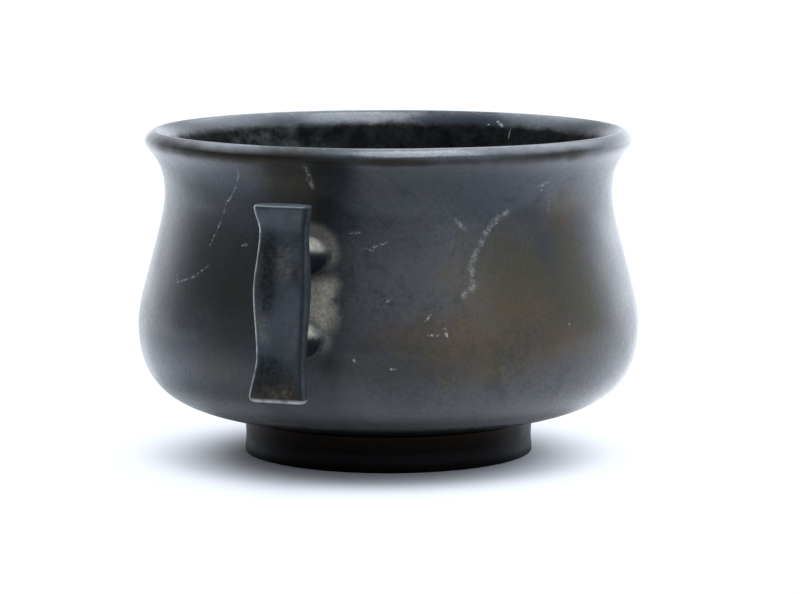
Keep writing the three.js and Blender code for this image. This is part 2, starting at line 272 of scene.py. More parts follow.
def inner_radius(height):
    """The inner wall's radius at a height above the floor."""
    rising = INNER[INNER[:, 0] > FLOOR_FLAT_RADIUS][::-1]
    return np.interp(height, rising[:, 1], rising[:, 0])


def placed(name, data):
    """A new object in the scene."""
    made = bpy.data.objects.new(name, data)
    bpy.context.scene.collection.objects.link(made)
    return made


def smooth_mesh(name, points, faces):
    """A new mesh object in the scene, shaded smooth."""
    mesh = bpy.data.meshes.new(name)
    mesh.from_pydata(points, [], faces)
    mesh.validate()
    mesh.shade_smooth()
    return placed(name, mesh)


def circle(steps):
    """Cosines and sines of equal steps round a circle."""
    angles = [2 * math.pi * i / steps for i in range(steps)]
    return [(math.cos(angle), math.sin(angle)) for angle in angles]


def bands(rings):
    """Faces between each ring of point numbers and the next, without doubled corners."""
    faces = []
    for low, high in zip(rings, rings[1:]):
        for i in range(len(low)):
            j = (i + 1) % len(low)
            faces.append(list(dict.fromkeys([low[i], low[j], high[j], high[i]])))
    return faces


def lathe(name, profile, steps, closed=False):
    """A surface of revolution from (radius, height) points that run with the inside on their left.
    A first or last point on the axis becomes one shared vertex. closed joins the profile's ends."""
    points, rings = [], []
    for radius, height in profile:
        if radius < 1e-9:
            rings.append([len(points)] * steps)
            points.append((0, 0, height))
            continue
        rings.append(range(len(points), len(points) + steps))
        points.extend((radius * cosine, radius * sine, height) for cosine, sine in circle(steps))
    if closed:
        rings.append(rings[0])
    return smooth_mesh(name, points, bands(rings))


def dent(piece, scale, depth, seed):
    """Sinks a mesh's points by up to depth, by noise of that scale, as hand work leaves them."""
    mesh = piece.data
    normals = [normal.vector.copy() for normal in mesh.vertex_normals]
    offset = Vector((seed, 2 * seed, 3 * seed))
    for vertex, normal in zip(mesh.vertices, normals):
        amount = 0.5 * noise.noise(vertex.co / scale + offset) - 0.5
        vertex.co += normal * (depth * amount)
    mesh.update()


def far_from(spots, turns, heights):
    """How far points on a wall are from the nearest of some ovals on it, 1 on an oval's edge. Each
    oval is (degrees round, height, half length, half width, degrees of tilt), with sizes in mm."""
    nearest = np.full(len(turns), 9.0)
    for degrees, height, half_length, half_width, tilt in spots:
        turned = np.remainder(turns - math.radians(degrees) + math.pi, 2 * math.pi) - math.pi
        across, rise = turned * BELLY_RADIUS / MM, heights / MM - height
        cosine, sine = math.cos(math.radians(tilt)), math.sin(math.radians(tilt))
        share_long = (across * cosine + rise * sine) / half_length
        share_wide = (rise * cosine - across * sine) / half_width
        nearest = np.minimum(nearest, np.hypot(share_long, share_wide))
    return nearest


def set_attribute(piece, name, values):
    """Gives a mesh's points numbers that its material reads."""
    made = piece.data.attributes.new(name, "FLOAT", "POINT")
    made.data.foreach_set("value", np.asarray(values, np.float32))


# Pieces


def build_bowl():
    """The bowl, with its register below. The attribute "inside" is 1 on the inner wall, and each
    kind of stain has an attribute that holds how far it is."""
    register_outer = SEAT_RADIUS - FOOT_WALL - REGISTER_GAP
    register_inner = register_outer - REGISTER_WIDTH
    register_foot = SEAT_HEIGHT - REGISTER_DEPTH
    under = [
        (0, SEAT_HEIGHT),
        (register_inner - REGISTER_DEPTH, SEAT_HEIGHT),
        (register_inner, register_foot),
        (register_outer, register_foot),
        (register_outer, SEAT_HEIGHT),
    ]
    profile = np.concatenate([under, OUTER, INNER[1:]])
    piece = lathe("bowl_body", profile, ROUND_STEPS)
    co = np.array([vertex.co for vertex in piece.data.vertices])
    heights, radii = co[:, 2], np.hypot(co[:, 0], co[:, 1])
    turns = np.arctan2(-co[:, 1], -co[:, 0])
    middle = (outer_radius(heights) + inner_radius(heights)) / 2
    inside = (radii < middle) & (heights > SEAT_HEIGHT + FLOOR / 2)
    set_attribute(piece, "inside", inside.astype(float))
    for kind, spots in STAINS.items():
        set_attribute(piece, kind, far_from(spots, turns, heights))
    dent(piece, scale=26 * MM, depth=0.16 * MM, seed=3.1)
    dent(piece, scale=7 * MM, depth=0.05 * MM, seed=8.4)
    return piece


def build_foot():
    """The foot ring: a slightly hollow side, a rounded outer edge, a bevelled inner one and a flat
    land between them."""
    inner = SEAT_RADIUS - FOOT_WALL
    waist = FOOT_RADIUS - FOOT_HOLLOW
    half = SEAT_HEIGHT / 2
    round_off = FOOT_EDGE / 3
    outer_edge = (FOOT_RADIUS - FOOT_EDGE, 0)
    side = (FOOT_RADIUS, FOOT_EDGE)
    middle = (waist, half)
    top = (SEAT_RADIUS - FOOT_TUCK, SEAT_HEIGHT)
    inner_top = (inner, SEAT_HEIGHT)
    inner_side = (inner, FOOT_EDGE)
    inner_edge = (inner + FOOT_EDGE, 0)
    profile = np.concatenate([
        [inner_edge],
        line(inner_edge, outer_edge, 4 * FOOT_STEP),
        bezier(outer_edge, (FOOT_RADIUS - round_off, 0), (FOOT_RADIUS, round_off), side, FOOT_STEP),
        bezier(side, (FOOT_RADIUS, half / 2), (waist, half / 2), middle, FOOT_STEP),
        bezier(middle, (waist, 1.5 * half), (top[0], 1.8 * half), top, FOOT_STEP),
        line(top, inner_top, 4 * FOOT_STEP),
        line(inner_top, inner_side, 4 * FOOT_STEP),
    ])
    piece = lathe("foot_band", profile, ROUND_STEPS, closed=True)
    dent(piece, scale=15 * MM, depth=0.1 * MM, seed=5.2)
    return piece


def along_bar(share, sizes):
    """A size along the bar, given at its five places, eased between them."""
    k = max(1, next(i for i, place in enumerate(BAR_PLACE_SHARES) if place >= share - 1e-9))
    low, high = BAR_PLACE_SHARES[k - 1], BAR_PLACE_SHARES[k]
    t = min(1.0, max(0.0, (share - low) / (high - low)))
    t = t * t * (3 - 2 * t)
    return sizes[k - 1] + (sizes[k] - sizes[k - 1]) * t


def bar_face(share):
    """Where the bar's face stands at a share of its height."""
    return BELLY_RADIUS + BAR_REACH - BAR_LEAN * share - along_bar(share, BAR_HOLLOWS)


def bar_ring(share, draw, corner, steps):
    """A ring of points round the bar, drawn in towards an end face by draw, from 0 to 1."""
    half_thickness = along_bar(share, BAR_THICKNESSES) / 2
    half_depth = half_thickness - BAR_EDGE * draw
    half_width = along_bar(share, BAR_WIDTHS) / 2 - corner * draw
    middle = bar_face(share) - half_thickness
    height = BAR_BOTTOM + share * BAR_LENGTH
    tilt = BAR_END_TILT * (2 * share - 1)
    back_round = along_bar(share, BAR_BACK_ROUND_SHARES)
    ring = []
    for outward, across in circle(steps):
        power = BAR_FACE_ROUND_SHARE if outward > 0 else back_round
        depth = half_depth * math.copysign(abs(outward) ** power, outward)
        side = half_width * math.copysign(abs(across) ** power, across)
        ring.append((middle + depth * math.cos(tilt), side, height - depth * math.sin(tilt)))
    return ring


def bar_rings(steps=96, rings=110, end_rings=8):
    """The bar's rings from foot to head, with both of its ends rounded over."""
    foot_share, head_share = BAR_FOOT_CORNER / BAR_LENGTH, BAR_HEAD_CORNER / BAR_LENGTH
    foot, head = [], []
    for i in range(end_rings):
        turn = math.pi / 2 * i / end_rings
        rise, draw = 1 - math.cos(turn), 1 - math.sin(turn)
        foot.append(bar_ring(foot_share * rise, draw, BAR_FOOT_CORNER, steps))
        head.insert(0, bar_ring(1 - head_share * rise, draw, BAR_HEAD_CORNER, steps))
    shares = [foot_share + (1 - foot_share - head_share) * i / rings for i in range(rings + 1)]
    return foot + [bar_ring(share, 0, 0, steps) for share in shares] + head


def bar_share(height):
    """The share of the bar that is below a height."""
    return min(1.0, max(0.0, (height - BAR_BOTTOM) / BAR_LENGTH))


def bar_middle(height):
    """Where the bar's middle plane stands at a height."""
    share = bar_share(height)
    return bar_face(share) - along_bar(share, BAR_THICKNESSES) / 2


def arm_rings(height, steps=64, rings=28):
    """An oval stem whose root lies on the curved wall and flares into it."""
    straight = outer_radius(height)
    reach = bar_middle(height) - straight
    made = []
    for k in range(rings + 1):
        t = k / rings
        root = ARM_ROOT_FLARE * (1 - min(1, t / ARM_ROOT_SHARE)) ** 3
        head = ARM_HEAD_FLARE * max(0, (t - ARM_HEAD_SHARE) / (1 - ARM_HEAD_SHARE)) ** 2
        half_width = ARM_HALF_WIDTH + root + head
        half_height = half_width * ARM_HALF_HEIGHT / ARM_HALF_WIDTH
        lift = math.tan(ARM_RISE) * reach * t
        straighten = t * t * (3 - 2 * t)
        ring = []
        for cosine, sine in circle(steps):
            y, z = half_width * cosine, height + half_height * sine
            on_wall = math.sqrt(max(0.0, float(outer_radius(z)) ** 2 - y * y)) - SUNK * (1 - t) ** 6
            x = on_wall + (straight - on_wall) * straighten + reach * t
            ring.append((x, y, z + lift))
        made.append(ring)
    return made


def loft(points, faces, rings):
    """Adds a closed surface through rings of equal count, capped at both ends."""
    numbers = []
    for ring in rings:
        numbers.append(range(len(points), len(points) + len(ring)))
        points.extend(ring)
    faces.extend(bands(numbers))
    faces.append(list(reversed(numbers[0])))
    faces.append(list(numbers[-1]))


def apply_modifiers(piece):
    """Makes what a piece's modifiers give its own mesh."""
    graph = bpy.context.evaluated_depsgraph_get()
    final = bpy.data.meshes.new_from_object(piece.evaluated_get(graph))
    piece.modifiers.clear()
    piece.data = final


def build_handle(name, side, seed):
    """A bar and its two arms, fused, with the corners between them eased. side is 1 at +X, -1 at -X.
    The attribute "clear" is the distance from the bowl's wall, and "rim" from the bar's long edges."""
    points, faces = [], []
    loft(points, faces, bar_rings())
    for height in ARM_HEIGHTS:
        loft(points, faces, arm_rings(height))
    piece = smooth_mesh(name, points, faces)
    remesh = piece.modifiers.new("fuse", "REMESH")
    remesh.mode = "VOXEL"
    remesh.voxel_size = HANDLE_VOXEL
    apply_modifiers(piece)
    ease_joints(piece)
    mesh = piece.data
    if side < 0:
        for vertex in mesh.vertices:
            vertex.co.x, vertex.co.y = -vertex.co.x, -vertex.co.y
    mesh.shade_smooth()
    mesh.update()
    clear = [math.hypot(v.co.x, v.co.y) - float(outer_radius(v.co.z)) for v in mesh.vertices]
    set_attribute(piece, "clear", clear)
    rim = [along_bar(bar_share(v.co.z), BAR_WIDTHS) / 2 - abs(v.co.y) for v in mesh.vertices]
    set_attribute(piece, "rim", rim)
    dent(piece, scale=9 * MM, depth=0.1 * MM, seed=seed)
    return piece


def ease_joints(piece):
    """Smooths the fused mesh everywhere a little, and much more where the arms meet the bar."""
    group = piece.vertex_groups.new(name="joint")
    for vertex in piece.data.vertices:
        x, y, z = vertex.co
        weight = 0.0
        for height in ARM_HEIGHTS:
            back = bar_middle(height) - JOINT_DEPTH
            lift = math.tan(ARM_RISE) * (back - outer_radius(height))
            ring = math.hypot(y / ARM_HALF_WIDTH, (z - height - lift) / ARM_HALF_HEIGHT)
            near = abs(x - back) / JOINT_REACH + abs(ring - 1.15) / 0.6
            weight = max(weight, 1.3 - near)
        if weight > 0:
            group.add([vertex.index], min(1.0, weight), "REPLACE")
    little = piece.modifiers.new("voxel steps", "SMOOTH")
    little.iterations = 4
    joint = piece.modifiers.new("joint", "SMOOTH")
    joint.iterations = 40
    joint.vertex_group = "joint"
    apply_modifiers(piece)


def build_rivet(name, side, height, seed):
    """A low hammered head on the inner wall, a little out of round."""
    steps, rings = 40, 12
    points, faces, made = [], [], []
    for k in range(rings + 1):
        share = math.sin(math.pi / 2 * (1 - k / rings)) if k < rings else 0.02
        rise = RIVET_HEAD_HEIGHT * max(0.0, 1 - share**2.4) ** 0.6
        ring = []
        for i in range(steps):
            angle = 2 * math.pi * i / steps
            wobble = 1 + 0.04 * math.sin(3 * angle + seed) + 0.03 * math.sin(5 * angle + 2 * seed)
            reach = RIVET_HEAD_RADIUS * share * wobble
            y, z = reach * math.cos(angle), height + reach * math.sin(angle)
            wall = math.sqrt(float(inner_radius(z)) ** 2 - y * y)
            ring.append((wall - rise, y, z))
        made.append(ring)
    sunk = [(x + SUNK, y, z) for x, y, z in made[0]]
    loft(points, faces, [sunk] + made)
    if side < 0:
        points = [(-x, -y, z) for x, y, z in points]
    piece = smooth_mesh(name, points, faces)
    dent(piece, scale=1.6 * MM, depth=0.12 * MM, seed=seed)
    return piece


# Materials


class Shader:
    """The node tree of a material or a world. Its methods add a node and return its output."""

    def __init__(self, owner, coordinates="Object"):
        self.owner = owner
        owner.use_nodes = True
        self.tree = owner.node_tree
        self.tree.nodes.clear()
        texture = self.node("ShaderNodeTexCoord")
        self.place, self.turned = texture.outputs[coordinates], texture.outputs["Normal"]
        self.x, self.y, self.z = self.node("ShaderNodeSeparateXYZ", {0: self.place}).outputs

    def node(self, kind, inputs=None, **settings):
        made = self.tree.nodes.new(kind)
        for key, value in settings.items():
            setattr(made, key, value)
        for key, value in (inputs or {}).items():
            self.feed(made.inputs[key], value)
        return made

    def feed(self, socket, value):
        if isinstance(value, bpy.types.NodeSocket):
            self.tree.links.new(value, socket)
        else:
            socket.default_value = value

    def math(self, operation, a, b=0.0, c=0.0):
        return self.node("ShaderNodeMath", {0: a, 1: b, 2: c}, operation=operation).outputs[0]

    def chain(self, operation, values):
        total = values[0]
        for value in values[1:]:
            total = self.math(operation, total, value)
        return total

    def times(self, *values):
        return self.chain("MULTIPLY", values)

    def plus(self, *values):
        return self.chain("ADD", values)

    def most(self, *values):
        return self.chain("MAXIMUM", values)

    def swing(self, share, width):
        """share from 0 to 1, spread to run from minus half of width to plus half of it."""
        return self.math("MULTIPLY_ADD", share, width, -width / 2)

    def ramp(self, value, low, high, to_low=0.0, to_high=1.0):
        """value eased from to_low at low to to_high at high."""
        inputs = {0: value, 1: low, 2: high, 3: to_low, 4: to_high}
        return self.node("ShaderNodeMapRange", inputs, interpolation_type="SMOOTHSTEP").outputs[0]

    def attribute(self, name):
        return self.node("ShaderNodeAttribute", attribute_name=name).outputs["Fac"]

    def ray(self, kind):
        return self.node("ShaderNodeLightPath").outputs[kind]

    def noise(self, size, detail=4.0, rough=0.55, distortion=0.0, offset=0.0):
        """Noise from 0 to 1 whose blobs are about size mm across."""
        place = self.place
        if offset:
            place = self.node("ShaderNodeVectorMath", {0: place, 1: (offset,) * 3}).outputs[0]
        inputs = {"Vector": place, "Scale": 1 / (size * MM), "Detail": detail, "Roughness": rough}
        return self.node("ShaderNodeTexNoise", {**inputs, "Distortion": distortion}).outputs["Fac"]

    def mix(self, share, a, b, blend_type="MIX"):
        """Colour a, turning to b as share goes to 1."""
        inputs = {0: share, 6: a, 7: b}
        return self.node("ShaderNodeMix", inputs, data_type="RGBA", blend_type=blend_type).outputs[2]

    def tint(self, share, color, tint):
        """color, multiplied by tint as share goes to 1."""
        return self.mix(share, color, tint, "MULTIPLY")

    def blend(self, share, a, b):
        """Number a, turning to b as share goes to 1."""
        return self.node("ShaderNodeMix", {0: share, 2: a, 3: b}, data_type="FLOAT").outputs[0]

    def flat(self, across, up):
        return self.node("ShaderNodeCombineXYZ", {0: across, 1: up, 2: 0.0}).outputs[0]

    def length(self, vector):
        return self.node("ShaderNodeVectorMath", {0: vector}, operation="LENGTH").outputs["Value"]

    def dot(self, x, y, z):
        """How far the place, or in a world the direction, reaches along (x, y, z)."""
        inputs = {0: self.place, 1: (x, y, z)}
        return self.node("ShaderNodeVectorMath", inputs, operation="DOT_PRODUCT").outputs["Value"]

    def bump(self, height, distance, strength=1.0, normal=None):
        """The normal where height rises by up to distance, in mm, on top of another bump's normal."""
        inputs = {"Height": height, "Distance": distance * MM, "Strength": strength}
        if normal:
            inputs["Normal"] = normal
        return self.node("ShaderNodeBump", inputs).outputs["Normal"]

    def bronze(self, color, roughness, metal, normal, wax):
        """Metal under a thin wax gloss, which wax from 0 to 1 makes stronger."""
        inputs = {"Base Color": color, "Roughness": roughness, "Metallic": metal, "Normal": normal}
        inputs |= {"Coat Weight": wax, "Coat Normal": normal, "Coat Roughness": 0.2}
        made = self.node("ShaderNodeBsdfPrincipled", {**inputs, "Specular IOR Level": 0.25})
        self.node("ShaderNodeOutputMaterial", {"Surface": made.outputs[0]})
        return self.owner

    def unrolled(self):
        """The wall laid flat in mm: across is the way round the belly from the left handle."""
        angle = self.math("ARCTAN2", self.times(self.y, -1.0), self.times(self.x, -1.0))
        return self.flat(self.times(angle, BELLY_RADIUS / MM), self.times(self.z, 1 / MM))

    def ovals(self, flat, spots):
        """The distance to the nearest of some ovals on a flat in mm, 1 on their edges. Each oval is
        (place across, height, half length, half width, degrees of tilt)."""
        nearest = None
        for across, height, half_length, half_width, tilt in spots:
            inputs = {1: (across, height, 0), 2: (0, 0, math.radians(tilt)), 3: (half_length, half_width, 1)}
            moved = self.node("ShaderNodeMapping", {0: flat, **inputs}, vector_type="TEXTURE").outputs[0]
            far = self.length(moved)
            nearest = far if nearest is None else self.math("MINIMUM", nearest, far)
        return nearest

    def marks(self, flat, spots):
        """Like ovals, on the unrolled wall, with each place in degrees round the bowl."""
        return self.ovals(flat, [(math.radians(spot[0]) * BELLY_RADIUS / MM, *spot[1:]) for spot in spots])


def along(points, half_width):
    """Oval spots end to end along a line of (degrees round, height), with sizes in mm."""
    spots = []
    for (a, low), (b, high) in zip(points, points[1:]):
        run = math.radians(b - a) * BELLY_RADIUS / MM
        tilt = math.degrees(math.atan2(high - low, run))
        half_length = 0.6 * math.hypot(run, high - low)
        spots.append(((a + b) / 2, (low + high) / 2, half_length, half_width, tilt))
    return spots


# Colours
SLATE = (0.036, 0.040, 0.045, 1)
SLATE_PALE = (0.066, 0.070, 0.075, 1)
SLATE_VIOLET = (0.058, 0.047, 0.046, 1)
EARTH = (0.029, 0.026, 0.021, 1)
CLAY = (0.078, 0.047, 0.024, 1)
OLIVE = (0.043, 0.038, 0.014, 1)
INK = (0.017, 0.022, 0.030, 1)
GRIME = (0.020, 0.016, 0.010, 1)
# soot inside the bowl, and also the painted shade on the underside by the foot
SOOT_AND_SHADE_BLACK = (0.003, 0.003, 0.004, 1)
ASH = (0.10, 0.115, 0.105, 1)
CHALK = (0.30, 0.31, 0.29, 1)
RAW = (0.31, 0.29, 0.24, 1)
RUBBED = (0.16, 0.165, 0.17, 1)
FOOT_BLACK = (0.0010, 0.0010, 0.0013, 1)
FOOT_WARM_BLACK = (0.0022, 0.0020, 0.0016, 1)
FOOT_GRIME = (0.0075, 0.0042, 0.0020, 1)
# a painted highlight across the foot's middle
FOOT_HIGHLIGHT_BAND = (0.006, 0.006, 0.0065, 1)
BAR_BLUE = (0.048, 0.061, 0.072, 1)
BAR_PALE_BLUE = (0.070, 0.086, 0.099, 1)
BAR_BROWN = (0.058, 0.054, 0.046, 1)
BAR_BLACK = (0.010, 0.010, 0.010, 1)
BAR_GRIME = (0.044, 0.034, 0.018, 1)
# rubbed metal, and also a painted highlight, on the bar's left and lower edges
BAR_WEAR_AND_HIGHLIGHT = (0.36, 0.375, 0.39, 1)
ARM_PALE = (0.40, 0.39, 0.35, 1)
ARM_BROWN = (0.22, 0.205, 0.175, 1)
RIVET_DARK = (0.030, 0.026, 0.022, 1)
RIVET_BROWN = (0.095, 0.078, 0.055, 1)
WHITE = (1, 1, 1, 1)
PAPER = (0.84, 0.86, 0.885, 1)
FLOOR_LIGHT = (0.90, 0.96, 1.05, 1)
STUDIO_LIGHT = (0.92, 0.98, 1.07, 1)
LAMP_LIGHT = (0.94, 0.98, 1.0)

# Tints that a colour is multiplied by
COOL = (0.84, 1.0, 1.22, 1)
WARM = (1.30, 0.86, 0.42, 1)
DEEP = (0.72, 0.72, 0.72, 1)

# Stains on the bowl, by kind: degrees round, height, half length and half width in mm, tilt
STAINS = {
    "pale": [
        (60, 20, 32, 10, 0), (9, 46, 12, 15, 0), (24, 47, 20, 13, 0), (-60, 24, 22, 12, 0),
        (68, 73, 24, 7, 0), (160, 30, 26, 15, 0), (232, 48, 16, 14, 0),
    ],
    "cool": [
        (-45, 24, 34, 12, 0), (-28, 72, 24, 9, 0), (-22, 34, 22, 8, 0), (190, 20, 30, 12, 0),
        (285, 40, 14, 20, 0),
    ],
    # deep only darkens its ovals by the DEEP tint
    "deep": [
        (60, 54, 17, 18, 0), (-40, 52, 24, 22, 0), (28, 74, 46, 8, 0), (140, 55, 20, 20, 0),
    ],
    "warm": [
        (56, 46, 26, 16, 0), (67, 58, 11, 13, 0), (41, 35, 26, 9, 0), (125, 38, 18, 12, 0),
        (205, 46, 22, 14, 0),
    ],
    "earth": [
        (-3, 71, 13, 11, 0), (-33, 57, 5, 6, 0), (-20, 48, 10, 14, 12), (-19, 33, 11, 11, 0),
        (16, 29.5, 15, 5, 0), (118, 66, 14, 9, 0), (185, 52, 15, 11, 0), (258, 58, 12, 12, 0),
    ],
    "olive": [
        (54, 51, 17, 12, 0), (67, 43, 10, 10, 0), (-4, 76, 9, 6, 0), (150, 44, 18, 13, 10),
        (215, 60, 14, 9, 0),
    ],
    "clay": [
        (37, 38.5, 15, 5, 0), (50, 42, 12, 8, 0), (61, 36, 11, 6, 0), (125, 33, 12, 7, -10),
        (195, 40, 10, 9, 0),
    ],
    "ink": [
        (59.5, 57.5, 4.5, 6, 0), (56, 65, 6, 2.6, 0), (-8, 33, 8, 7, 0), (133, 82.4, 1.6, 0.5, 0),
        (100, 60, 7, 5, 0),
    ],
    "grime": [
        (-22, 79.9, 32, 1.8, -1.5), (20, 79.3, 26, 1.0, 0), (59, 79.7, 15, 1.8, 0),
        (170, 79.8, 24, 1.2, 0),
    ],
    "ash": [
        (-126, 72, 22, 8, 0), (160, 70, 12, 6, 0), (-160, 68, 16, 5, 0), (60, 60, 20, 12, 0),
    ],
}

# Chips inside the lip, in the same way
CHIPS = [
    (166.7, 79.5, 0.9, 0.4, 25), (167.9, 80.3, 0.5, 0.25, 0), (163.3, 77.4, 0.2, 1.3, 0),
    (170.5, 79.4, 0.4, 0.2, 0),
]

# Scratches: lines of (degrees round, height in mm)
LONG_SCRATCHES = [
    [(-18.2, 77.8), (-18.5, 76.1), (-20.2, 73.2), (-23.3, 69.1), (-24.8, 68), (-26.2, 64), (-29.2, 57.3)],
    [(-41.4, 49.6), (-39.1, 47.2), (-33.9, 48.8), (-31.9, 49.8), (-28.8, 52)],
    [(-18.7, 57.8), (-17, 58.3)],
]
BROAD_SCRATCHES = [
    [(50, 66.6), (47.9, 65.6), (44.8, 63.7), (42.2, 60.6), (40.9, 58.5), (38.5, 54.4), (38.5, 51.3)],
    [(38.5, 51.3), (38.8, 48.7), (36.9, 48.3), (35.9, 47)],
    [(0.0, 78.1), (0.3, 75), (0.8, 73)],
    [(35.7, 64.8), (37.2, 63.1)],
]
SHORT_SCRATCHES = [
    [(58.2, 72), (61.2, 73)], [(62, 69.7), (62.2, 65.8)], [(13.3, 58.6), (15.4, 58)],
    [(15.4, 58.9), (18, 59.6)], [(10, 62.1), (12, 62.2)], [(27.2, 38.2), (29.4, 38.2)],
    [(31.2, 40), (31.8, 37.6)], [(27, 41.2), (28.2, 42.8)], [(18.5, 46.1), (19.6, 46.7)],
    [(19.3, 30.2), (20.7, 30.2)], [(11.4, 32.5), (11.9, 31.8)],
]


def stain(s, kind, spread, strength=1.0):
    """How strongly a kind of stain shows, with spread to make its edge ragged."""
    return s.ramp(s.plus(s.attribute(kind), spread), 1.4, 0.2, 0, strength)


def ground_color(s, mottle, ragged):
    """The bowl's slate, cooler on the neck, and mottled brown where it is warm."""
    cloud = s.noise(30, distortion=0.4)
    patch = s.noise(7, detail=5, rough=0.62, distortion=1.2, offset=5.5)
    neck = s.ramp(s.math("MULTIPLY_ADD", ragged, 12 * MM, s.z), 54 * MM, 72 * MM)
    warm = stain(s, "warm", ragged)
    color = s.mix(s.ramp(cloud, 0.35, 0.68, 0, 0.5), SLATE, SLATE_PALE)
    color = s.mix(stain(s, "pale", ragged, 0.8), color, SLATE_PALE)
    color = s.mix(s.ramp(mottle, 0.46, 0.72, 0, 0.5), color, SLATE_VIOLET)
    color = s.tint(s.most(s.times(neck, 0.6), stain(s, "cool", ragged)), color, COOL)
    color = s.mix(s.ramp(patch, 0.47, 0.33, 0, 0.55), color, INK)
    color = s.tint(warm, color, WARM)
    color = s.mix(s.times(warm, s.ramp(patch, 0.54, 0.42, 0.1, 0.75)), color, OLIVE)
    return s.mix(s.times(warm, s.ramp(patch, 0.50, 0.62, 0, 0.75)), color, CLAY)


def stained_color(s, mottle, grain, handled, ragged):
    """The ground with its stains, the flecks that handling leaves and the shade under the lip."""
    fine = s.noise(0.45, detail=2, rough=0.6, offset=1.7)
    clay = s.times(stain(s, "clay", ragged), s.ramp(mottle, 0.35, 0.62, 0.3, 0.85))
    under_lip = s.times(s.ramp(s.z, 70 * MM, 78 * MM, 0, 0.4), s.ramp(s.z, 79.5 * MM, 81.5 * MM, 1, 0.2))
    color = s.tint(stain(s, "deep", ragged), ground_color(s, mottle, ragged), DEEP)
    color = s.mix(stain(s, "earth", ragged, 0.85), color, EARTH)
    color = s.mix(stain(s, "olive", ragged, 0.8), color, OLIVE)
    color = s.mix(clay, color, CLAY)
    color = s.mix(stain(s, "ink", ragged, 0.8), color, INK)
    color = s.mix(s.times(s.ramp(grain, 0.36, 0.60, 0.5, 0), handled), color, INK)
    color = s.mix(s.times(s.ramp(fine, 0.50, 0.72, 0, 0.4), handled), color, SLATE_PALE)
    return s.mix(under_lip, color, INK)


def inside_color(s, depth, ragged):
    """Soot, with ash in spots on the wall and over the floor. depth is a height with a ragged edge."""
    near_ash = s.most(stain(s, "ash", ragged), s.ramp(depth, 22 * MM, 14 * MM, 0.2, 0.7))
    ash = s.times(near_ash, s.ramp(s.noise(5, detail=8, rough=0.75, offset=1.1), 0.33, 0.72))
    return s.mix(ash, SOOT_AND_SHADE_BLACK, ASH)


def bowl_relief(s, grain, handled, coarse):
    """The surface's direction, with low waves, grain and pits, and a cast skin where it is coarse."""
    pits = s.ramp(s.noise(1.5, detail=2, rough=0.5, offset=4.0), 0.28, 0.4)
    skin = s.noise(0.8, detail=3, rough=0.7)
    normal = s.bump(s.noise(4, rough=0.6), 0.06, 0.4)
    normal = s.bump(s.times(grain, handled), 0.03, 0.5, normal)
    normal = s.bump(pits, 0.04, 0.4, normal)
    return s.bump(s.times(skin, coarse), 0.16, 1.0, normal)


def bowl_bronze():
    """Handled blue-grey bronze outside with olive and clay stains, sooty and ash-stained inside."""
    s = Shader(bpy.data.materials.new("bowl_bronze"))
    inside = s.attribute("inside")
    outside = s.math("SUBTRACT", 1.0, inside)
    mottle = s.noise(9, detail=5, rough=0.6, offset=0.3)
    grain = s.noise(1.0, detail=3, rough=0.65)
    handled = s.ramp(s.noise(18, detail=3, offset=3.1), 0.36, 0.62, 0.25, 1)
    ragged = s.swing(s.noise(8, detail=6, rough=0.62, offset=0.7), 1.5)
    color = stained_color(s, mottle, grain, handled, ragged)

    raw, by_ear = raw_zone(s)
    # dusty: pale dust by the bar, and also painted light that lifts the bar's shade on the wall
    dusty = s.times(by_ear, s.ramp(s.z, 66 * MM, 58 * MM), s.ramp(mottle, 0.35, 0.6, 0.3, 0.8))
    raw_color = s.mix(s.ramp(s.noise(0.9, rough=0.7), 0.35, 0.75, 0, 0.6), RAW, EARTH)
    color = s.mix(dusty, color, SLATE_PALE)
    color = s.mix(raw, color, raw_color)

    flat = s.unrolled()
    chip_far = s.plus(s.marks(flat, CHIPS), s.swing(grain, 2.0))
    chips = s.times(inside, s.ramp(chip_far, 1.4, 0.2))
    chalk = s.most(chalk_marks(s, flat), chips)
    grime = s.times(outside, stain(s, "grime", s.swing(mottle, 2.0), 0.9))
    crest = s.ramp(s.z, HEIGHT - 1.4 * MM, HEIGHT - 0.5 * MM)
    rub = s.times(crest, s.ramp(s.noise(2.5, detail=5, rough=0.7), 0.45, 0.7, 0, 0.3))
    # seat: painted shade, near black, on the bowl's underside close to the foot ring, mixed in below
    seat = s.ramp(s.z, SEAT_HEIGHT + 4.4 * MM, SEAT_HEIGHT + 0.2 * MM)
    color = s.mix(chalk, color, CHALK)
    color = s.mix(grime, color, GRIME)
    color = s.mix(rub, color, RUBBED)
    color = s.mix(seat, color, SOOT_AND_SHADE_BLACK)

    depth = s.plus(s.z, s.swing(s.noise(4, detail=5, rough=0.6), 2.5 * MM))
    low_inside = s.times(inside, s.ramp(depth, HEIGHT - 2.2 * MM, HEIGHT - 4.6 * MM))
    color = s.mix(low_inside, color, inside_color(s, depth, ragged))
    color = s.mix(chips, color, CHALK)

    dull = s.most(chalk, s.times(raw, 0.7), low_inside)
    rough = s.ramp(s.noise(14, offset=2.2), 0.3, 0.7, 0.26, 0.36)
    rough = s.plus(rough, s.ramp(grain, 0.3, 0.7, 0.06, -0.03))
    rough = s.blend(s.most(grime, seat), rough, 0.5)
    rough = s.blend(by_ear, rough, 0.5)
    rough = s.blend(dull, rough, 0.78)
    metal = s.blend(s.math("SUBTRACT", dull, s.times(low_inside, 0.9)), 0.92, 0.05)
    unwaxed = s.most(dull, by_ear, seat, s.times(grime, 0.7))
    wax = s.blend(unwaxed, s.ramp(s.z, 75 * MM, 79 * MM, 0.7, 1), 0.0)
    normal = bowl_relief(s, grain, handled, s.most(raw, low_inside))
    return s.bronze(color, rough, metal, normal, wax)


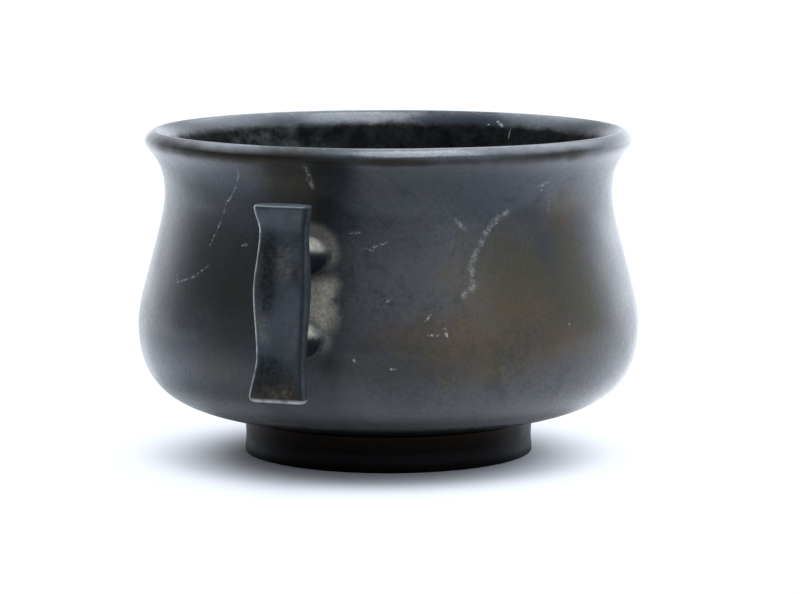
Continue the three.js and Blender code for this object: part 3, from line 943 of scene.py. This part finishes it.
def raw_zone(s):
    """Where the wall behind a bar was never polished, between its arms and in a halo round them,
    and the wider zone where the bar kept the wax off."""
    side, reach = s.math("ABSOLUTE", s.y), s.math("ABSOLUTE", s.x)
    ragged_side = s.plus(side, s.swing(s.noise(4, offset=5.0), 5 * MM))
    outside = s.ramp(reach, THROAT_RADIUS - 4 * MM, THROAT_RADIUS - 2 * MM)
    zone = s.times(
        s.ramp(ragged_side, 9.5 * MM, 5 * MM),
        s.ramp(s.z, LOWER_ARM_HEIGHT, LOWER_ARM_HEIGHT + 4 * MM),
        s.ramp(s.z, UPPER_ARM_HEIGHT - 3 * MM, UPPER_ARM_HEIGHT - 8 * MM),
    )
    for height in ARM_HEIGHTS:
        rise = s.math("SUBTRACT", s.z, height)
        far = s.length(s.flat(s.y, rise))
        halo = s.times(s.ramp(far, 8.5 * MM, 6 * MM, 0, 0.5), s.ramp(rise, -5 * MM, 0, 0.2, 1))
        zone = s.most(zone, halo)
    return s.times(zone, outside), s.times(s.ramp(ragged_side, 17 * MM, 7 * MM, 0, 0.8), outside)


def chalk_marks(s, flat):
    """Pale scratches, smears and specks."""
    broken = s.noise(0.8, rough=0.8, offset=6.0)
    wander = s.swing(s.noise(1.8, rough=0.7, offset=7.0), 3.0)
    thin = [spot for points in LONG_SCRATCHES + SHORT_SCRATCHES for spot in along(points, 0.3)]
    wide = [spot for points in BROAD_SCRATCHES for spot in along(points, 0.7)]
    lines = s.ramp(s.plus(s.marks(flat, thin), wander), 1.5, 0.3)
    smears = s.ramp(s.plus(s.marks(flat, wide), wander), 1.7, 0.2)
    cells = s.node("ShaderNodeTexVoronoi", {"Vector": s.place, "Scale": 1 / (7 * MM)})
    near = s.ramp(cells.outputs["Distance"], 0.045, 0.025)
    chosen = s.ramp(cells.outputs["Color"], 0.76, 0.80)
    return s.most(
        s.times(lines, s.ramp(broken, 0.48, 0.58, 0.03, 0.9)),
        s.times(smears, s.ramp(broken, 0.42, 0.62, 0.04, 0.6)),
        s.times(near, chosen, 0.6),
    )


def foot_bronze():
    """Near-black satin bronze with brown grime above and a painted highlight, a paler band, across its
    middle.
    """
    s = Shader(bpy.data.materials.new("foot_bronze"))
    cloud = s.noise(9, detail=5, rough=0.6)
    color = s.mix(s.ramp(cloud, 0.4, 0.7), FOOT_BLACK, FOOT_WARM_BLACK)
    grime = s.ramp(s.z, SEAT_HEIGHT - 4.5 * MM, SEAT_HEIGHT - 2 * MM, 0, 0.8)
    color = s.mix(grime, color, FOOT_GRIME)
    # band: a painted highlight across the foot's middle, where its side catches light from above
    band = s.times(s.ramp(s.z, 1.2 * MM, 3.0 * MM), s.ramp(s.z, 5.6 * MM, 3.6 * MM))
    color = s.mix(s.times(band, 0.8), color, FOOT_HIGHLIGHT_BAND)
    grain = s.noise(1.1, detail=3, rough=0.65)
    rough = s.ramp(cloud, 0.3, 0.7, 0.38, 0.50)
    normal = s.bump(s.noise(3.5, rough=0.6), 0.1, 0.5)
    normal = s.bump(grain, 0.03, 0.6, normal)
    return s.bronze(color, rough, 0.9, normal, 0.02)


# Dirt and dust on the face of a bar: place across it, height, half width and half height in mm, tilt
BAR_DIRT = [
    (-2.4, 58, 2.4, 6, 4), (-2.8, 51, 2.2, 6, 0), (-2.2, 29.5, 5.0, 5.0, 0),
    (1.0, 26.5, 6.5, 2.6, 0),
]
BAR_DUST = [
    (1.0, 57.5, 2.8, 5.5, 0), (-4.0, 41, 2.0, 4.0, 0), (0.5, 26.0, 6.0, 2.4, 0),
]


def bar_color(s, cloud, grain, across):
    """The bar's blue with brown clouds, dirt, dust and its grimy foot, and where dirt and dust lie."""
    ragged = s.swing(s.noise(2.6, detail=6, rough=0.68, offset=0.9), 2.2)
    face = s.flat(s.times(across, 1 / MM), s.times(s.z, 1 / MM))
    brown = s.ramp(s.noise(6, detail=5, rough=0.65, offset=8.0), 0.48, 0.64, 0, 0.6)
    faint = s.ramp(s.noise(3.5, detail=6, rough=0.72, offset=2.0), 0.46, 0.70, 0, 0.5)
    flecks = s.ramp(grain, 0.36, 0.62, 1, 0.55)
    specks = s.ramp(s.noise(2, detail=8, rough=0.82, offset=6.0), 0.40, 0.70, 0.03, 0.42)
    dirt = s.ramp(s.plus(s.ovals(face, BAR_DIRT), ragged), 1.5, 0.4, 0, 0.85)
    dust = s.times(s.ramp(s.plus(s.ovals(face, BAR_DUST), ragged), 1.4, 0.0), specks)
    grimed = s.times(s.ramp(s.z, BAR_BOTTOM + 7 * MM, BAR_BOTTOM + 1 * MM, 0, 0.75), flecks)
    color = s.mix(s.ramp(cloud, 0.35, 0.7), BAR_BLUE, BAR_PALE_BLUE)
    color = s.mix(brown, color, BAR_BROWN)
    color = s.mix(s.times(s.most(dirt, faint), flecks), color, BAR_BLACK)
    color = s.mix(dust, color, RAW)
    return s.mix(grimed, color, BAR_GRIME), dirt, dust


def bar_edges(s, grain, across, on_bar):
    """Where the bar's edges are rubbed bright, with a painted highlight on one side and along its foot, and
    where the other side has painted shade.
    """
    rim = s.plus(s.attribute("rim"), s.swing(grain, 0.5 * MM))
    # rubbed edges, brightest on one side as a painted highlight
    wear_and_highlight = s.times(s.ramp(rim, 0.9 * MM, 0.4 * MM), s.ramp(across, 3 * MM, -4 * MM, 0.1, 1))
    # foot: a painted highlight along the bar's lower end
    foot = s.ramp(s.z, BAR_BOTTOM + 1.4 * MM, BAR_BOTTOM + 0.6 * MM)
    broken = s.ramp(s.noise(2.5), 0.35, 0.6, 0.5, 1)
    # kept: painted shade along the other rim, over the light its edge reflects
    kept = s.times(s.ramp(rim, 2.2 * MM, 0.6 * MM), s.ramp(across, 2 * MM, 5 * MM, 0, 0.9), on_bar)
    return s.times(s.most(wear_and_highlight, foot), on_bar, broken), kept


def arm_zones(s, grain, arm):
    """Where an arm is raw and dusty, on its top and round its root, and where it has painted shade below.
    The pale top is also a painted highlight from light above.
    """
    normal_up = s.node("ShaderNodeSeparateXYZ", {0: s.turned}).outputs[2]
    # lit: the upward faces, pale from dust and also as a painted highlight from light above
    lit = s.ramp(s.plus(normal_up, s.swing(grain, 0.8)), -0.05, 0.45)
    clear = s.plus(s.attribute("clear"), s.swing(grain, 1.2 * MM))
    root = s.ramp(clear, 2.2 * MM, 0.2 * MM, 0, 0.2)
    raw = s.times(arm, s.most(s.times(lit, s.ramp(clear, 1 * MM, 5 * MM, 0.35, 1)), root))
    # under: painted shade on each arm's downward faces
    under = s.times(arm, s.ramp(normal_up, 0.2, -0.5, 0.3, 1), s.math("SUBTRACT", 1.0, root))
    return raw, under


def handle_bronze():
    """Blue-grey satin bronze: dirt down the face, rubbed edges with a painted highlight on one side and
    painted shade on the other, and arms left raw and dusty on top, with painted light on their tops and
    painted shade below.
    """
    s = Shader(bpy.data.materials.new("handle_bronze"))
    cloud = s.noise(11, distortion=0.3)
    grain = s.noise(0.9, rough=0.7)
    across, reach = s.times(s.y, s.math("SIGN", s.x)), s.math("ABSOLUTE", s.x)
    on_bar = s.ramp(reach, ARM_END, ARM_END + 1 * MM)
    arm = s.ramp(reach, ARM_END + 0.5 * MM, ARM_END - 1.5 * MM)
    color, dirt, dust = bar_color(s, cloud, grain, across)
    wear_and_highlight, kept = bar_edges(s, grain, across, on_bar)
    raw, under = arm_zones(s, grain, arm)
    # painted shade on one rim of the bar, then rubbed metal and painted highlight on the other rim and the
    # foot
    color = s.mix(kept, color, INK)
    color = s.mix(wear_and_highlight, color, BAR_WEAR_AND_HIGHLIGHT)
    # painted shade under the arms, then their dusty tops, pale also as painted light
    color = s.mix(under, color, INK)
    color = s.mix(raw, color, s.mix(s.ramp(grain, 0.35, 0.65), ARM_PALE, ARM_BROWN))
    rough = s.ramp(cloud, 0.3, 0.7, 0.32, 0.42)
    for zone, roughness in ((arm, 0.55), (raw, 0.75), (dirt, 0.6), (kept, 0.7)):
        rough = s.blend(zone, rough, roughness)
    metal = s.blend(s.most(raw, dust), 0.92, 0.1)
    wax = s.blend(s.most(raw, kept, dirt, under), 0.4, 0.0)
    normal = s.bump(s.noise(3, detail=5, rough=0.65), 0.12, 0.6)
    normal = s.bump(grain, 0.04, 0.9, normal)
    return s.bronze(color, rough, metal, normal, wax)


def rivet_bronze():
    """Dull brown hammered bronze under soot."""
    s = Shader(bpy.data.materials.new("rivet_bronze"))
    cloud = s.noise(2.4, detail=5, rough=0.65)
    color = s.mix(s.ramp(cloud, 0.4, 0.65), RIVET_DARK, RIVET_BROWN)
    rough = s.ramp(cloud, 0.3, 0.7, 0.5, 0.68)
    normal = s.bump(s.noise(1.2, rough=0.7), 0.1, 0.7)
    return s.bronze(color, rough, 0.7, normal, 0.1)


# Studio


def camera_way(right, ahead, up):
    """A place or direction that lies so far to the camera's right, away from the camera, and up."""
    sine, cosine = math.sin(CAMERA_AZIMUTH), math.cos(CAMERA_AZIMUTH)
    return right * cosine - ahead * sine, right * sine + ahead * cosine, up


def mirrored_glow(s, far):
    """How bright the floor is in reflections: dimmer in front of the object, and on the left both
    close by and far off. far is the distance from the object's axis."""
    right, ahead = s.dot(*camera_way(1, 0, 0)), s.dot(*camera_way(0, 1, 0))
    left = s.times(s.ramp(right, -0.02, -0.06), s.ramp(far, 0.11, 0.07))
    far_left = s.times(s.ramp(right, -0.08, -0.3), s.ramp(ahead, 0.3, 0.0))
    return s.times(
        s.ramp(ahead, -0.16, 0.02, FLOOR_FRONT_LEVEL, FLOOR_BACK_LEVEL),
        s.ramp(right, -0.02, 0.12, 1, FLOOR_RIGHT_SHARE),
        s.blend(left, 1.0, FLOOR_LEFT_SHARE),
        s.blend(far_left, 1.0, FLOOR_FAR_SHARE),
    )


def build_floor():
    """A pale floor. Far from the object it is plain white, and near it keeps the object's shadow.
    The fade between them is wider to the camera than in reflections."""
    sides = ((-1, -1), (1, -1), (1, 1), (-1, 1))
    corners = [(x * FLOOR_HALF, y * FLOOR_HALF, 0) for x, y in sides]
    floor = smooth_mesh("floor", corners, [[0, 1, 2, 3]])
    s = Shader(bpy.data.materials.new("floor"))
    far = s.length(s.place)
    shift = camera_way(FLOOR_SHADE_ASIDE, FLOOR_SHADE_FORWARD, 0)
    shifted = s.node("ShaderNodeVectorMath", {0: s.place, 1: shift}).outputs[0]
    looked_at = s.ramp(s.length(shifted), FLOOR_SHADE_RADIUS, FLOOR_WHITE_RADIUS)
    mirrored = s.ramp(far, MIRRORED_SHADE_RADIUS, MIRRORED_WHITE_RADIUS)
    camera_ray = s.ray("Is Camera Ray")
    shown = s.most(camera_ray, s.ray("Is Glossy Ray"), s.ray("Is Transmission Ray"))
    share = s.times(shown, s.blend(camera_ray, mirrored, looked_at))
    glow = s.blend(camera_ray, mirrored_glow(s, far), FLOOR_SEEN_LEVEL)
    paper = s.node("ShaderNodeBsdfDiffuse", {"Color": PAPER}).outputs[0]
    white = s.node("ShaderNodeEmission", {0: FLOOR_LIGHT, 1: glow}).outputs[0]
    surface = s.node("ShaderNodeMixShader", {0: share, 1: paper, 2: white}).outputs[0]
    s.node("ShaderNodeOutputMaterial", {"Surface": surface})
    floor.data.materials.append(s.owner)


def build_world():
    """White to the camera. To the object it is a studio: bright behind, to the right and above, and
    dark where the camera stands, but for a soft key light above it and to its right."""
    world = bpy.data.worlds.new("studio")
    bpy.context.scene.world = world
    s = Shader(world, "Generated")
    right, ahead = s.dot(*camera_way(1, 0, 0)), s.dot(*camera_way(0, 1, 0))
    level_reach = math.cos(KEY_RISE)
    key_way = (level_reach * math.sin(KEY_SIDE), -level_reach * math.cos(KEY_SIDE), math.sin(KEY_RISE))
    back = s.times(
        s.ramp(ahead, 0.3, 0.9),
        s.ramp(s.z, 0.05, 0.5, 1, BACK_FADE),
        s.ramp(right, -0.4, 0.4, BACK_LEFT_LEVEL, BACK_RIGHT_LEVEL),
    )
    level = s.plus(
        back,
        s.ramp(right, 0.1, 0.8, DARK_LEVEL, DARK_LEVEL + RIGHT_LEVEL),
        s.times(s.ramp(right, -0.2, -0.8, 0, LEFT_LEVEL), s.ramp(s.z, 0, 0.3, 1, LEFT_FADE)),
        s.times(s.ramp(s.z, 0.4, 0.7, 0, TOP_LEVEL), s.ramp(ahead, -0.3, 0.2)),
        s.ramp(s.dot(*camera_way(*key_way)), 0.7, 1.0, 0, KEY_LEVEL),
    )
    camera_ray = s.ray("Is Camera Ray")
    level = s.blend(camera_ray, level, 1.0)
    color = s.mix(camera_ray, STUDIO_LIGHT, WHITE)
    background = s.node("ShaderNodeBackground", {"Color": color, "Strength": level}).outputs[0]
    s.node("ShaderNodeOutputWorld", {"Surface": background})


def build_softbox():
    """A square lamp over the object, leaning to the camera's right and towards it."""
    lamp = bpy.data.lights.new("softbox", "AREA")
    lamp.size = SOFTBOX_SIDE
    lamp.energy = SOFTBOX_POWER
    lamp.color = LAMP_LIGHT
    light = placed("softbox", lamp)
    light.location = camera_way(
        SOFTBOX_FAR * math.sin(SOFTBOX_TILT),
        -SOFTBOX_FAR * math.sin(SOFTBOX_LEAN),
        SOFTBOX_FAR * math.cos(SOFTBOX_LEAN),
    )
    light.rotation_euler = (-light.location).to_track_quat("-Z", "Y").to_euler()


def build_camera():
    """A long lens that looks a little down at the object, with the left handle near its middle."""
    camera_data = bpy.data.cameras.new("camera")
    camera_data.lens = LENS
    camera = placed("camera", camera_data)
    camera.location = camera_way(0, -CAMERA_DISTANCE, CAMERA_HEIGHT)
    camera.rotation_euler = (math.pi / 2 - CAMERA_PITCH, 0, CAMERA_AZIMUTH - CAMERA_PAN)
    bpy.context.scene.camera = camera


def dress(piece, node, material):
    """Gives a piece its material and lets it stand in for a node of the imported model."""
    piece.data.materials.clear()
    piece.data.materials.append(material)
    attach(piece, "root")
    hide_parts(node)


def main():
    build_camera()
    build_floor()
    build_world()
    build_softbox()
    dress(build_bowl(), "bowl", bowl_bronze())
    dress(build_foot(), "foot_ring", foot_bronze())
    handle_material, rivet_material = handle_bronze(), rivet_bronze()
    for name, side, seed in (("left", -1, 1.7), ("right", 1, 4.9)):
        casting = build_handle(f"{name}_handle_casting", side, seed)
        dress(casting, f"{name}_handle", handle_material)
        for place in ("upper", "lower"):
            low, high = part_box(f"{name}_{place}_rivet")
            height = (low.z + high.z) / 2
            head = build_rivet(f"{name}_{place}_rivet_head", side, height, seed + height / MM)
            dress(head, f"{name}_{place}_rivet", rivet_material)
    bpy.context.scene.view_settings.view_transform = "Standard"


main()
